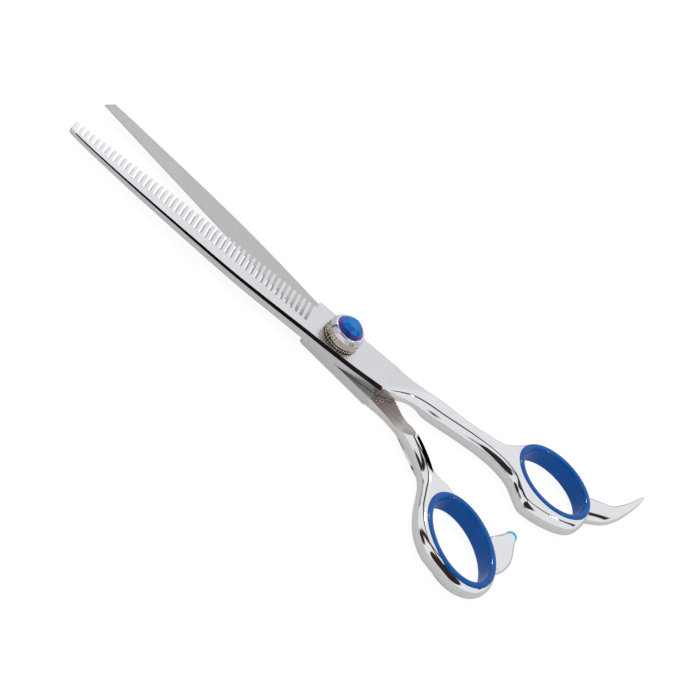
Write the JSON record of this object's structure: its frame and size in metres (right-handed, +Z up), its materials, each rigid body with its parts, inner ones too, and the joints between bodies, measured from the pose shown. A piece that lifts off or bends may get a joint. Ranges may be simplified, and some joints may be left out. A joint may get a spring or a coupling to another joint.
{
  "type": "thinning shears",
  "caption": "Salon thinning shears with a toothed blade and a plain blade, blue ring inserts, a curved finger rest and a jewelled tension dial.",
  "frame": {"origin": "on the pivot axis, at the flat back of the pivot screw's head, which is the surface that the shears lie on", "axes": "+X along the handles away from the blade tips, +Y across towards the finger ring, +Z up through the tension dial"},
  "size_m": [0.1827, 0.0981, 0.0129],
  "materials": {
    "polished_steel": "polished",
    "blue_insert": "gloss",
    "cyan_bumper": "satin",
    "screw_steel": "satin",
    "bronze": "satin",
    "white_washer": "matte",
    "spring_steel": "satin",
    "nickel": "polished",
    "dark_plate": "satin",
    "polished_cap": "polished",
    "blue_gem": "faceted gloss"
  },
  "bodies": {
    "plain_half": {"plain_blade": "polished_steel", "thumb_insert": "blue_insert", "bumper": "cyan_bumper", "pivot_screw": "screw_steel", "blade_washer": "white_washer", "disc_spring": "spring_steel"},
    "comb_half": {"comb_blade": "polished_steel", "finger_insert": "blue_insert", "pivot_bushing": "bronze", "slide_washer": "bronze"},
    "thrust_ring": {"detent_ring": "nickel", "click_plate": "dark_plate"},
    "dial": {"tension_dial": "nickel", "dial_cap": "polished_cap", "gem": "blue_gem"}
  },
  "joints": [
    {"name": "blade_pivot", "type": "hinge", "parent": "plain_half", "child": "comb_half", "pos_m": [0, 0, 0], "axis": [0, 0, 1], "range_deg": [-9.5, 50]},
    {"name": "tension_travel", "type": "slide", "parent": "plain_half", "child": "thrust_ring", "axis": [0, 0, 1], "range_m": [-0.000125, 0.000375], "deforming": ["disc_spring"]},
    {"name": "tension_turn", "type": "hinge", "parent": "thrust_ring", "child": "dial", "pos_m": [0, 0, 0], "axis": [0, 0, 1], "range_deg": [-90, 270]}
  ],
  "couplings": [
    {"joint": "tension_turn", "follows": "tension_travel", "rad_per_m": 12566}
  ]
}
